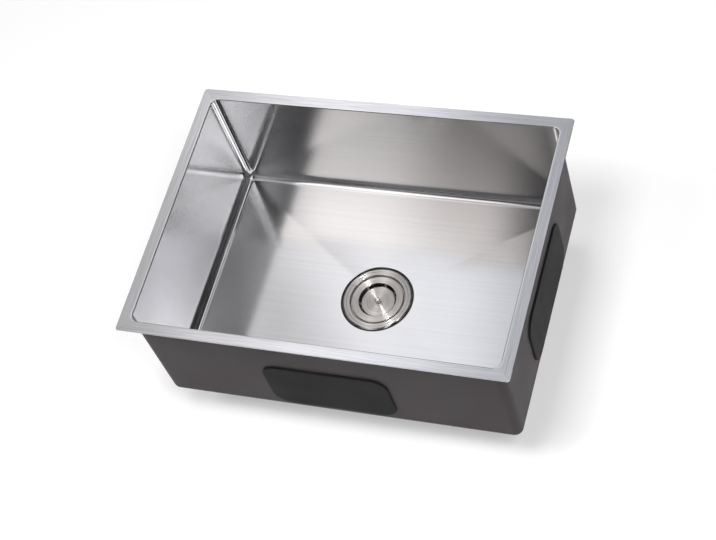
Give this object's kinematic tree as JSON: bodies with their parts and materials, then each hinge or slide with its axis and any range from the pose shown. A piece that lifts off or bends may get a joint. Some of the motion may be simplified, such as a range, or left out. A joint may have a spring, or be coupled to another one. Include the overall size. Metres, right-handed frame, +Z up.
{
  "type": "undermount kitchen sink",
  "caption": "Single-bowl undermount kitchen sink with a flat rim, square walls, a floor creased towards a lift-out basket strainer, and sound pads stuck outside.",
  "frame": {"origin": "middle of the bowl's mouth, on the plane of the rim's top face, which meets the underside of the worktop", "axes": "+X along the long side towards the right, +Y from the front to the back, +Z up"},
  "size_m": [0.6, 0.445, 0.2968],
  "materials": {
    "brushed_bowl": "brushed",
    "strainer_steel": "turned, semi-polished",
    "cup_steel": "satin",
    "knob_steel": "polished",
    "sound_pad": "matte",
    "black_rubber": "satin",
    "fibre": "pressed fibre",
    "cast_nut": "as cast",
    "nut_plastic": "moulded",
    "bush_plastic": "moulded"
  },
  "bodies": {
    "sink": {"bowl": "brushed_bowl", "front_pad": "sound_pad", "right_pad": "sound_pad", "back_pad": "sound_pad", "left_pad": "sound_pad", "floor_pad_left": "sound_pad", "floor_pad_right": "sound_pad", "strainer_body": "strainer_steel", "flange_gasket": "black_rubber", "under_gasket": "black_rubber", "friction_ring": "fibre", "lock_nut": "cast_nut", "coupling_washer": "black_rubber", "coupling_nut": "nut_plastic", "crossbar": "cup_steel"},
    "bush": {"guide_bush": "bush_plastic"},
    "basket": {"basket_shell": "strainer_steel", "basket_knob": "knob_steel", "basket_stem": "cup_steel", "stopper_washer": "cup_steel", "stopper_seal": "black_rubber"}
  },
  "joints": [
    {"name": "basket_turn", "type": "hinge", "parent": "sink", "child": "bush", "pos_m": [0, 0, -0.27028], "axis": [0, 0, 1], "continuous": true},
    {"name": "basket_lift", "type": "slide", "parent": "bush", "child": "basket", "axis": [0, 0, 1], "range_m": [0, 0.07]}
  ]
}
